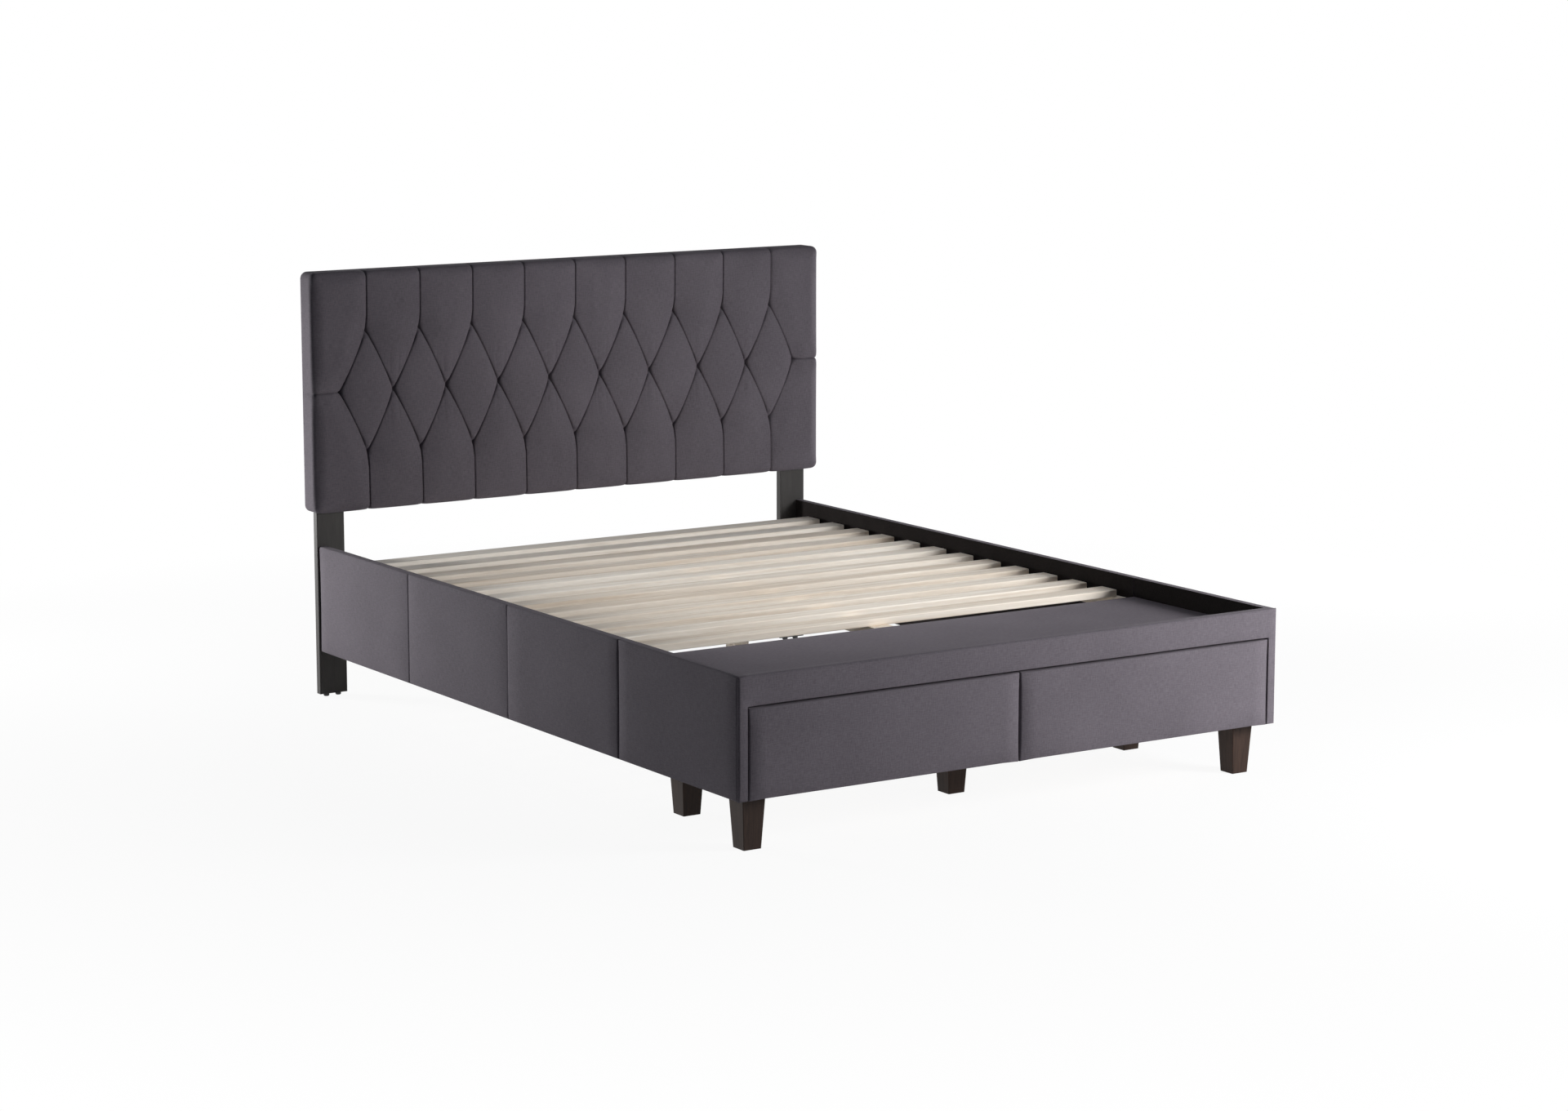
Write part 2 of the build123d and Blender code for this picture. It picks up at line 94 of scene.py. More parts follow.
def feed(tree: NodeTree, node: Node, feeds: dict) -> None:
    """Link or set a node's sockets.

    Args:
        tree: the material's or world's node tree.
        node: the node to feed.
        feeds: a socket's name or number, and the socket or value that it takes.
    """
    for socket, source in feeds.items():
        if isinstance(source, NodeSocket):
            tree.links.new(source, node.inputs[socket])
        else:
            node.inputs[socket].default_value = source


def add_node(tree: NodeTree, kind: str, feeds: dict | None = None, **settings) -> Node:
    """Add a shader node with its settings and what feeds its sockets.

    Args:
        tree: the material's or world's node tree.
        kind: the node's type name.
        feeds: a socket's name or number, and the socket or value that it takes.
        settings: the node's own properties.

    Returns:
        The new node.
    """
    node = tree.nodes.new(kind)
    for name, value in settings.items():
        setattr(node, name, value)
    feed(tree, node, feeds or {})
    return node


def noise(
    tree: NodeTree, vector: NodeSocket, scale: float | tuple[float, ...], detail: float, **sockets: float
) -> NodeSocket:
    """Draw soft noise, stretched where its scale differs between axes.

    Args:
        tree: the material's node tree.
        vector: the coordinates that it is drawn on.
        scale: repeats per metre, as one number or one for each axis.
        detail: how many finer layers it has.
        sockets: other inputs of the noise.

    Returns:
        The noise's socket.
    """
    if isinstance(scale, tuple):
        vector = add_node(tree, "ShaderNodeMapping", {"Vector": vector, "Scale": scale}).outputs[0]
        scale = 1
    feeds = {"Vector": vector, "Scale": scale, "Detail": detail, **sockets}
    return add_node(tree, "ShaderNodeTexNoise", feeds).outputs[0]


def combine(tree: NodeTree, operation: str, *values) -> NodeSocket:
    """The result of one math node on sockets or numbers."""
    return add_node(tree, "ShaderNodeMath", dict(enumerate(values)), operation=operation).outputs[0]


def stretch(tree: NodeTree, value: NodeSocket, span: Span, onto: Span = (0, 1)) -> NodeSocket:
    """A value whose span is stretched onto another span and held within it."""
    feeds = {"Value": value, "From Min": span[0], "From Max": span[1], "To Min": onto[0], "To Max": onto[1]}
    return add_node(tree, "ShaderNodeMapRange", feeds).outputs[0]


def blend(tree: NodeTree, share: NodeSocket, first: str, second: str) -> NodeSocket:
    """A mix of two hex colours, all the second where the share is one."""
    feeds = {0: share, 6: linear(first), 7: linear(second)}
    return add_node(tree, "ShaderNodeMix", feeds, data_type="RGBA").outputs[2]


def bumpy(tree: NodeTree, height: NodeSocket, strength: float, depth: float) -> NodeSocket:
    """The normal of a surface with this relief."""
    feeds = {"Height": height, "Strength": strength, "Distance": depth}
    return add_node(tree, "ShaderNodeBump", feeds).outputs[0]


def blank_material(name: str) -> tuple[Material, NodeTree, Node]:
    """Make an empty material with its main shader.

    Args:
        name: the material's name.

    Returns:
        The material, its node tree and its Principled shader.
    """
    material = bpy.data.materials.new(name)
    material.use_nodes = True
    tree = material.node_tree
    shader = next(node for node in tree.nodes if node.type == "BSDF_PRINCIPLED")
    return material, tree, shader


# Finishes

class Grain(Enum):
    """The way that a board's grain runs."""

    ACROSS_BED = 0
    ALONG_BED = 1
    UPRIGHT = 2

    def stretched(self, across_mm: float, along_mm: float) -> tuple[float, ...]:
        """Pattern repeats per metre on each axis, for streaks of that width and length."""
        return tuple(per_metre(along_mm if axis == self.value else across_mm) for axis in range(3))


@dataclass(frozen=True)
class WovenCloth:
    """Plain-woven polyester upholstery cloth in charcoal.

    Thick and thin yarns cross, so the flat grey breaks up into short soft streaks both ways,
    and loose fibres catch light along the edges. The yarns of such a cloth are under a
    millimetre; they and the slubs are drawn wider than real ones, so that they show.
    """

    name: str = "charcoal_woven_polyester"
    dark: str = "#524d53"
    light: str = "#6e686f"
    tones: Span = (0.8, 1.7)
    yarn_mm: float = 1.4
    yarn_waver: float = 0.6
    slub_mm: float = 2.2
    slub_length_mm: float = 17.0
    slub_harshness: float = 0.65
    fade_mm: float = 210.0
    fade_share: float = 0.5
    relief: float = 0.35
    relief_depth: float = 0.3 * MM
    roughness: float = 0.88
    gloss: float = 0.15
    sheen: float = 0.08
    sheen_roughness: float = 0.45
    sheen_tint: str = "#b9b4ba"

    def make(self) -> Material:
        """Build the cloth's material on the piece's own cloth map.

        Returns:
            The new material.
        """
        material, tree, shader = blank_material(self.name)
        cloth = add_node(tree, "ShaderNodeUVMap", uv_map=CLOTH_UV).outputs["UV"]
        short, long = per_metre(self.slub_mm), per_metre(self.slub_length_mm)
        both_ways = [
            noise(tree, cloth, scale, 3, Roughness=self.slub_harshness)
            for scale in ((short, long, 1), (long, short, 1))
        ]
        slubs = combine(tree, "ADD", *both_ways)
        fade = noise(tree, cloth, per_metre(self.fade_mm), 2)
        tone = combine(tree, "MULTIPLY_ADD", fade, self.fade_share, slubs)
        # One repeat of a plain weave is two yarns, one over and one under.
        turns = WAVE_TURN * per_metre(2 * self.yarn_mm)
        wave = {"Vector": cloth, "Scale": turns, "Distortion": self.yarn_waver}
        yarns = [
            add_node(tree, "ShaderNodeTexWave", wave, bands_direction=way).outputs["Fac"]
            for way in ("X", "Y")
        ]
        height = combine(tree, "ADD", combine(tree, "MAXIMUM", *yarns), slubs)
        feed(tree, shader, {
            "Base Color": blend(tree, stretch(tree, tone, self.tones), self.dark, self.light),
            "Normal": bumpy(tree, height, self.relief, self.relief_depth),
            "Roughness": self.roughness,
            "Specular IOR Level": self.gloss,
            "Sheen Weight": self.sheen,
            "Sheen Roughness": self.sheen_roughness,
            "Sheen Tint": linear(self.sheen_tint),
        })
        return material


@dataclass(frozen=True)
class StreakedWood:
    """A planed or coated wooden board: long streaks of early and late wood under a finer fibre.

    The same grain shows as pale, grey-brown streaked pine, as dark stain with a soft shine,
    as paint that the grain only just marks, and as lacquered plywood.
    """

    name: str
    pale: str
    deep: str
    grain: Grain
    streak_mm: float = 17.0
    streak_length_mm: float = 700.0
    streak_waver: float = 0.6
    streak_harshness: float = 0.6
    fibre_mm: float = 1.6
    fibre_length_mm: float = 60.0
    fibre_harshness: float = 0.7
    fibre_share: float = 0.35
    board_mm: float = 110.0
    board_length_mm: float = 2200.0
    board_share: float = 0.5
    middle_tone: float = 0.52
    tone_reach: float = 0.23
    roughness: float = 0.6
    gloss: float = 0.3
    coat: float = 0.0
    coat_roughness: float = 0.3
    relief: float = 0.12
    relief_depth: float = 0.4 * MM

    def make(self) -> Material:
        """Build the wood's material on object coordinates.

        Returns:
            The new material.
        """
        material, tree, shader = blank_material(self.name)
        place = add_node(tree, "ShaderNodeTexCoord").outputs["Object"]
        streak = self.grain.stretched(self.streak_mm, self.streak_length_mm)
        fibre = self.grain.stretched(self.fibre_mm, self.fibre_length_mm)
        board = self.grain.stretched(self.board_mm, self.board_length_mm)
        harsh, waver = self.streak_harshness, self.streak_waver
        streaks = noise(tree, place, streak, 5, Roughness=harsh, Distortion=waver)
        fibres = noise(tree, place, fibre, 4, Roughness=self.fibre_harshness)
        mixed = combine(tree, "MULTIPLY_ADD", fibres, self.fibre_share, streaks)
        mixed = combine(tree, "MULTIPLY_ADD", noise(tree, place, board, 0), self.board_share, mixed)
        middle = self.middle_tone + (self.fibre_share + self.board_share) / 2
        tone = stretch(tree, mixed, (middle - self.tone_reach, middle + self.tone_reach))
        feed(tree, shader, {
            "Base Color": blend(tree, tone, self.pale, self.deep),
            "Normal": bumpy(tree, fibres, self.relief, self.relief_depth),
            "Roughness": self.roughness,
            "Specular IOR Level": self.gloss,
            "Coat Weight": self.coat,
            "Coat Roughness": self.coat_roughness,
        })
        return material


@dataclass(frozen=True)
class FeltedLining:
    """Black spun-bonded lining cloth: short matted fibres that swallow light and show no weave."""

    name: str
    dark: str
    light: str
    tones: Span = (0.35, 0.85)
    fibre_mm: float = 2.2
    fibre_waver: float = 1.5
    patch_mm: float = 45.0
    patch_share: float = 0.2
    relief: float = 0.3
    relief_depth: float = 0.3 * MM
    roughness: float = 0.95
    gloss: float = 0.08

    def make(self) -> Material:
        """Build the lining's material on object coordinates.

        Returns:
            The new material.
        """
        material, tree, shader = blank_material(self.name)
        place = add_node(tree, "ShaderNodeTexCoord").outputs["Object"]
        fibres = noise(tree, place, per_metre(self.fibre_mm), 3, Distortion=self.fibre_waver)
        patches = noise(tree, place, per_metre(self.patch_mm), 2)
        tone = combine(tree, "MULTIPLY_ADD", patches, self.patch_share, fibres)
        feed(tree, shader, {
            "Base Color": blend(tree, stretch(tree, tone, self.tones), self.dark, self.light),
            "Normal": bumpy(tree, fibres, self.relief, self.relief_depth),
            "Roughness": self.roughness,
            "Specular IOR Level": self.gloss,
        })
        return material


@dataclass(frozen=True)
class ZincSteel:
    """Zinc-plated pressed steel: cool grey, with drawn lines along it and soft cloudy patches."""

    name: str = "zinc_plated_steel"
    dark: str = "#a3a7aa"
    light: str = "#c9cccf"
    line_mm: float = 0.9
    line_length_mm: float = 80.0
    cloud_mm: float = 30.0
    roughness: Span = (0.28, 0.48)
    relief: float = 0.08
    relief_depth: float = 0.1 * MM

    def make(self) -> Material:
        """Build the metal's material on object coordinates.

        Returns:
            The new material.
        """
        material, tree, shader = blank_material(self.name)
        place = add_node(tree, "ShaderNodeTexCoord").outputs["Object"]
        lines = noise(tree, place, Grain.ALONG_BED.stretched(self.line_mm, self.line_length_mm), 2)
        clouds = noise(tree, place, per_metre(self.cloud_mm), 3)
        feed(tree, shader, {
            "Base Color": blend(tree, clouds, self.dark, self.light),
            "Normal": bumpy(tree, lines, self.relief, self.relief_depth),
            "Roughness": stretch(tree, clouds, (0, 1), self.roughness),
            "Metallic": 1.0,
        })
        return material


@dataclass(frozen=True)
class MouldedNylon:
    """Black moulded nylon: a fine spark-eroded texture that keeps its shine dull."""

    name: str = "black_moulded_nylon"
    dark: str = "#101011"
    light: str = "#1c1c1e"
    grit_mm: float = 0.8
    relief: float = 0.2
    relief_depth: float = 0.1 * MM
    roughness: float = 0.55

    def make(self) -> Material:
        """Build the plastic's material on object coordinates.

        Returns:
            The new material.
        """
        material, tree, shader = blank_material(self.name)
        place = add_node(tree, "ShaderNodeTexCoord").outputs["Object"]
        grit = noise(tree, place, per_metre(self.grit_mm), 2)
        feed(tree, shader, {
            "Base Color": blend(tree, grit, self.dark, self.light),
            "Normal": bumpy(tree, grit, self.relief, self.relief_depth),
            "Roughness": self.roughness,
        })
        return material


# Mesh helpers

def as_object(name: str, shape: BMesh, finish: Material) -> Object:
    """Turn a bmesh into an object at the origin, shaded smooth but for its sharp folds.

    Args:
        name: the piece's name.
        shape: the finished bmesh, which is freed.
        finish: the piece's material.

    Returns:
        The new object.
    """
    for edge in shape.edges:
        if edge.is_manifold and edge.calc_face_angle() > FOLD_ANGLE:
            edge.smooth = False
    mesh = bpy.data.meshes.new(name)
    shape.to_mesh(mesh)
    shape.free()
    mesh.materials.append(finish)
    for face in mesh.polygons:
        face.use_smooth = True
    piece = bpy.data.objects.new(name, mesh)
    bpy.context.scene.collection.objects.link(piece)
    return piece


def cut_across(shape: BMesh, axis: int, places: Sequence[float]) -> None:
    """Cut a mesh by planes square to one axis.

    Args:
        shape: the bmesh to cut.
        axis: 0, 1 or 2.
        places: where each plane crosses the axis.
    """
    normal = Vector((axis == 0, axis == 1, axis == 2))
    for place in places:
        everything = shape.verts[:] + shape.edges[:] + shape.faces[:]
        bmesh.ops.bisect_plane(
            shape, geom=everything, plane_co=normal * place, plane_no=normal, dist=TOUCHING
        )


def even_places(low: float, high: float, step: float) -> list[float]:
    """Evenly spaced places between two limits, about one step apart, without the limits."""
    count = max(1, round((high - low) / step))
    return [low + (high - low) * index / count for index in range(1, count)]


def edges_where(shape: BMesh, test: Callable[[Vector], bool]) -> list[BMEdge]:
    """The edges whose two ends both pass a test."""
    return [edge for edge in shape.edges if all(test(vert.co) for vert in edge.verts)]


def faces_where(shape: BMesh, test: Callable[[Vector], bool]) -> list[BMFace]:
    """The faces whose middles pass a test."""
    return [face for face in shape.faces if test(face.calc_center_median())]


def round_edges(shape: BMesh, edges: list[BMEdge], radius: float, segments: int) -> None:
    """Round those of the edges that are still there over to a radius, in so many strips."""
    live = [edge for edge in edges if edge.is_valid]
    bmesh.ops.bevel(
        shape, geom=live, offset=radius, affect="EDGES", segments=segments, profile=0.5, material=-1
    )


def draw_out(shape: BMesh, faces: list[BMFace], move: tuple[float, float, float], keep: bool) -> None:
    """Extrude faces.

    Args:
        shape: the bmesh that the faces belong to.
        faces: the faces to extrude.
        move: how far the new faces go along each axis.
        keep: whether the first faces stay where they are.
    """
    made = bmesh.ops.extrude_face_region(shape, geom=faces)["geom"]
    moved = [item for item in made if isinstance(item, BMVert)]
    bmesh.ops.translate(shape, vec=move, verts=moved)
    if not keep:
        bmesh.ops.delete(shape, geom=[face for face in faces if face.is_valid], context="FACES_ONLY")


def lay_cloth(shape: BMesh, shift: float) -> None:
    """Lay the weave flat on a panel whose face looks along -Y, and fold it over the edges.

    Args:
        shape: the panel's bmesh, in metres.
        shift: moves the weave, so that two panels don't repeat it.
    """
    layer = shape.loops.layers.uv.new(CLOTH_UV)
    for face in shape.faces:
        across, depth, up = (abs(value) for value in face.normal)
        for loop in face.loops:
            x, y, z = loop.vert.co
            if depth >= max(across, up):
                place = (x, z)
            elif across >= up:
                place = (x + math.copysign(y, face.normal.x), z)
            else:
                place = (x, z + math.copysign(y, face.normal.z))
            loop[layer].uv = (place[0] + shift, place[1] + shift / 2)


def settle(piece: Object, node: str, body: str) -> None:
    """Let a padded piece stand for its solid and move with its body.

    Args:
        piece: the sewn cover.
        node: the CAD node that it replaces.
        body: the body that it rides on.
    """
    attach(piece, body)
    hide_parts(node)
    log.info("%s has %d faces", piece.name, len(piece.data.polygons))


@dataclass(frozen=True)
class Stuffing:
    """Blows a sewn cover up over its foam with a cloth simulation."""

    pressure: float
    cap: float
    stiffness: float = 15.0
    bending: float = 0.5
    mass: float = 0.3
    frames: int = 8
    steps: int = 3

    def swell(self, piece: Object, held: Sequence[int]) -> None:
        """Run the cloth and keep its shape, each point moved by no more than the cap.

        Args:
            piece: the cover, whose mesh is changed.
            held: the vertices that seams, staples or boards hold in place.
        """
        started = time.time()
        scene = bpy.context.scene
        trial = bpy.data.objects.new(piece.name + "_trial", piece.data.copy())
        scene.collection.objects.link(trial)
        group = trial.vertex_groups.new(name="held")
        group.add(list(held), 1.0, "REPLACE")
        modifier = trial.modifiers.new("Cloth", "CLOTH")
        cloth = modifier.settings
        cloth.quality = self.steps
        cloth.mass = self.mass
        cloth.tension_stiffness = self.stiffness
        cloth.compression_stiffness = self.stiffness
        cloth.shear_stiffness = self.stiffness / 2
        cloth.bending_stiffness = self.bending
        cloth.vertex_group_mass = group.name
        cloth.pin_stiffness = 1.0
        cloth.use_pressure = True
        cloth.uniform_pressure_force = self.pressure
        cloth.effector_weights.gravity = 0.0
        modifier.point_cache.frame_start = 1
        modifier.point_cache.frame_end = self.frames
        for step in range(1, self.frames + 1):
            scene.frame_set(step)
        shaped = trial.evaluated_get(bpy.context.evaluated_depsgraph_get()).to_mesh()
        count = len(piece.data.vertices)
        start, swollen = np.empty(count * 3), np.empty(count * 3)
        piece.data.vertices.foreach_get("co", start)
        shaped.vertices.foreach_get("co", swollen)
        move = (swollen - start).reshape(-1, 3)
        length = np.linalg.norm(move, axis=1, keepdims=True)
        move *= np.minimum(1.0, self.cap / np.maximum(length, TINY))
        piece.data.vertices.foreach_set("co", start + move.ravel())
        piece.data.update()
        scene.frame_set(1)
        bpy.data.objects.remove(trial)
        most = float(np.linalg.norm(move, axis=1).max()) / MM
        log.info("%s swelled by up to %.1f mm in %.0f s", piece.name, most, time.time() - started)


# Headboard

@dataclass
class TuftedHeadboard:
    """The tufted pad: diamonds between pleats, wrapped round the headboard's frame."""

    cloth: Material
    node: str = "headboard_pad"
    tuft_count: int = 9
    side_margin: float = 84 * MM
    row_margin: float = 162.5 * MM
    patch_cuts: int = 25
    edge_radius: float = 19 * MM
    wrap: float = 14 * MM
    rear_edge: float = 3 * MM
    pocket: float = 36 * MM
    strip_step: float = 6 * MM
    tuft_depth: float = 19 * MM
    tuft_pull: float = 2.2
    pleat_depth: float = 4.5 * MM
    pleat_ease: Span = (0.25, 0.55)
    pleat_ease_depth: float = 1.25
    pleat_line: float = 0.6 * MM
    edge_depth: float = 4 * MM
    seam_depth: float = 4 * MM
    fade_beyond_edge: float = 48 * MM
    roll: float = 58 * MM
    edge_roll: float = 26 * MM
    slit_depth: float = 6 * MM
    slit_width: float = 2.4 * MM
    slit_share_between: float = 0.55
    dimple_depth: float = 7 * MM
    dimple_radius: float = 12 * MM
    gather: float = 0.7
    stuffing: Stuffing = Stuffing(pressure=3.0, cap=4 * MM)

    def __post_init__(self) -> None:
        """Take the pad's place and size from its solid."""
        self.low, self.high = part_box(self.node)
        self.width, self.depth, self.height = self.high - self.low
        self.pitch = (self.width - 2 * self.side_margin) / self.tuft_count
        self.rise = self.height / 2 - self.row_margin
        middle = (self.tuft_count - 1) / 2
        self.columns = [(index - middle) * self.pitch for index in range(self.tuft_count)]

    def patches(self) -> list[list[tuple[float, float]]]:
        """Corners of the four-sided patches that the pleats and the pad's middle lines bound.

        Returns:
            A list of patches, each four (across, up) corners from the pad's middle.
        """
        half, top, side = self.pitch / 2, self.height / 2, self.width / 2
        found = []
        for x in self.columns:
            found.append([(x, self.rise), (x + half, 0), (x, -self.rise), (x - half, 0)])
            for up in (1, -1):
                for way in (1, -1):
                    mid, row, edge = x + way * half, up * self.rise, up * top
                    if abs(mid) < abs(self.columns[-1]) + half / 2:
                        found.append([(x, row), (x, edge), (mid, edge), (mid, 0)])
                    else:
                        outer = way * side
                        found.append([(x, row), (x, edge), (outer, edge), (outer, row)])
                        found.append([(x, row), (outer, row), (outer, 0), (mid, 0)])
        return found

    def pleats(self) -> list[tuple[Vector, Vector, Callable, Callable]]:
        """Every pleat as its two ends, its depth and the width of its roll along it.

        Returns:
            Ends in the flat cloth, and two functions of the share of the way along.
        """
        half = self.pitch / 2

        def between(share: np.ndarray) -> np.ndarray:
            """Depth between two tufts: deep at both, shallow half way."""
            pull = np.abs(2 * share - 1) ** self.tuft_pull
            return self.pleat_depth + (self.tuft_depth - self.pleat_depth) * pull

        def full(share: np.ndarray) -> np.ndarray:
            """The same roll all along."""
            return np.full_like(share, self.roll)

        def outwards(length: float, middle: float) -> tuple[Callable, Callable]:
            """Shape a pleat that runs from a tuft over the pad's edge.

            Args:
                length: of the pleat, with the part beyond the edge.
                middle: its depth on the way to the edge.

            Returns:
                Its depth and its roll, each a function of the share of the way along.
            """
            edge = (length - self.fade_beyond_edge) / length

            def depth(share: np.ndarray) -> np.ndarray:
                """Deep at the tuft, shallow at the edge, gone beyond it."""
                places = [0, *(ease * edge for ease in self.pleat_ease), edge, 1]
                depths = [self.tuft_depth, middle * self.pleat_ease_depth, middle, self.edge_depth, 0]
                return np.interp(share, places, depths)

            def roll(share: np.ndarray) -> np.ndarray:
                """Wide at the tuft, narrow from the edge on."""
                return np.interp(share, [0, edge, 1], [self.roll, self.edge_roll, self.edge_roll])

            return depth, roll

        found = []
        for x in self.columns:
            for up in (1, -1):
                tuft = Vector((x, up * self.rise))
                for way in (1, -1):
                    found.append((tuft, Vector((x + way * half, 0)), between, full))
                end = Vector((x, up * (self.height / 2 + self.fade_beyond_edge)))
                found.append((tuft, end, *outwards((end - tuft).length, self.pleat_depth)))
        for way in (1, -1):
            tuft = Vector((way * (self.columns[-1] + half), 0))
            end = Vector((way * (self.width / 2 + self.fade_beyond_edge), 0))
            found.append((tuft, end, *outwards((end - tuft).length, self.seam_depth)))
        return found

    def shell(self) -> BMesh:
        """Patches cut fine, then strips run back round the frame and a pocket that holds it.

        Returns:
            A box-like bmesh, open where the backing goes. Its layers hold how far back a point
            lies along the strip and how far in from the outline.
        """
        shape = bmesh.new()
        for corners in self.patches():
            shape.faces.new([shape.verts.new((across, 0, up)) for across, up in corners])
        bmesh.ops.remove_doubles(shape, verts=shape.verts[:], dist=NEAR)
        bmesh.ops.subdivide_edges(shape, edges=shape.edges[:], cuts=self.patch_cuts, use_grid_fill=True)
        back = shape.verts.layers.float.new("back")
        inset = shape.verts.layers.float.new("inset")
        rear, inside = self.depth - self.rear_edge, self.depth - self.pocket
        rings = [(place, 0.0) for place in even_places(0, rear, self.strip_step)]
        rings += [(rear, 0.0), (self.depth, self.rear_edge), (self.depth, self.wrap), (inside, self.wrap)]
        for place, inwards in rings:
            rim = [edge for edge in shape.edges if edge.is_boundary]
            made = bmesh.ops.extrude_edge_only(shape, edges=rim)["geom"]
            for vert in (item for item in made if isinstance(item, BMVert)):
                vert[back] = place
                vert[inset] = inwards
        bmesh.ops.recalc_face_normals(shape, faces=shape.faces[:])
        return shape

    def sink(self, sheet: np.ndarray) -> tuple[np.ndarray, np.ndarray, np.ndarray]:
        """How deep each point of the flat cloth is drawn in.

        Args:
            sheet: (across, up) of each point in the flat cloth.

        Returns:
            The depth at each point, its distance from the nearest pleat and the step that
            gathers points towards that pleat.
        """
        depth, slit = np.zeros(len(sheet)), np.zeros(len(sheet))
        near = np.full(len(sheet), self.roll)
        towards = np.zeros_like(sheet)
        for start, end, depth_along, roll_along in self.pleats():
            begin, run = np.array(start), np.array(end - start)
            share = np.clip((sheet - begin) @ run / (run @ run), 0, 1)
            offset = sheet - (begin + share[:, None] * run)
            distance = np.linalg.norm(offset, axis=1)
            closer = distance < near
            near = np.where(closer, distance, near)
            towards[closer] = -offset[closer]
            reach = np.clip(1 - distance / roll_along(share), 0, 1)
            drawn = depth_along(share)
            depth = np.maximum(depth, drawn * (1 - np.sqrt(1 - reach ** 2)))
            narrow = np.clip(1 - distance / self.slit_width, 0, 1)
            held = np.interp(drawn, [0, self.edge_depth, self.tuft_depth], [0, self.slit_share_between, 1])
            slit = np.maximum(slit, narrow * held)
            dimple = np.clip(1 - np.linalg.norm(sheet - begin, axis=1) / self.dimple_radius, 0, 1)
            slit = np.maximum(slit, dimple ** 2 * self.dimple_depth / self.slit_depth)
        depth += slit * self.slit_depth
        pull = self.gather * (1 - near / self.roll)
        return depth, near, towards * pull[:, None]

    def close_pocket(self, pad: Object) -> None:
        """Close the pad's pocket with one flat face against the backing.

        Args:
            pad: the swollen pad, whose mesh is changed.
        """
        shape = bmesh.new()
        shape.from_mesh(pad.data)
        bmesh.ops.contextual_create(shape, geom=[edge for edge in shape.edges if edge.is_boundary])
        shape.to_mesh(pad.data)
        shape.free()

    def build(self) -> None:
        """Shape the pad, swell it, and let it stand for its solid."""
        shape = self.shell()
        back = np.array([vert[shape.verts.layers.float["back"]] for vert in shape.verts])
        inset = np.array([vert[shape.verts.layers.float["inset"]] for vert in shape.verts])
        flat = np.array([vert.co for vert in shape.verts])[:, [0, 2]]
        edge = np.array([self.width / 2, self.height / 2])
        on_edge = np.abs(np.abs(flat) - edge) < NEAR
        sheet = flat + np.sign(flat) * on_edge * back[:, None]
        _, _, step = self.sink(sheet)
        on_front = (back == 0) & ~on_edge.any(axis=1)
        flat[on_front] += step[on_front]
        sheet[on_front] += step[on_front]
        depth, near, _ = self.sink(sheet)
        depth[inset > 0] = 0

        box = np.column_stack([flat[:, 0], back, flat[:, 1]])
        core = np.column_stack([
            np.clip(box[:, 0], -edge[0] + self.edge_radius, edge[0] - self.edge_radius),
            np.maximum(box[:, 1], self.edge_radius),
            np.clip(box[:, 2], -edge[1] + self.edge_radius, edge[1] - self.edge_radius),
        ])
        outwards = box - core
        outwards /= np.maximum(np.linalg.norm(outwards, axis=1, keepdims=True), TINY)
        points = core + outwards * (self.edge_radius - inset - depth)[:, None]
        points += np.array([0, self.low.y, (self.low.z + self.high.z) / 2])
        for vert, point in zip(shape.verts, points):
            vert.co = point
        on_pleat = (near < self.pleat_line) | (inset > 0)
        for line in shape.edges:
            line.smooth = not all(on_pleat[vert.index] for vert in line.verts)
        layer = shape.loops.layers.uv.new(CLOTH_UV)
        for face in shape.faces:
            for loop in face.loops:
                loop[layer].uv = sheet[loop.vert.index]
        pad = as_object(self.node + "_tufted", shape, self.cloth)
        held = np.flatnonzero((near < self.slit_width) | (back > self.edge_radius))
        self.stuffing.swell(pad, held.tolist())
        self.close_pocket(pad)
        settle(pad, self.node, FRAME_BODY)


# Padded panels

class Facing(Enum):
    """The way that a padded panel's face looks, as a turn about Z from a face along -Y."""

    FOOT = 0
    LEFT = -90
    RIGHT = 90


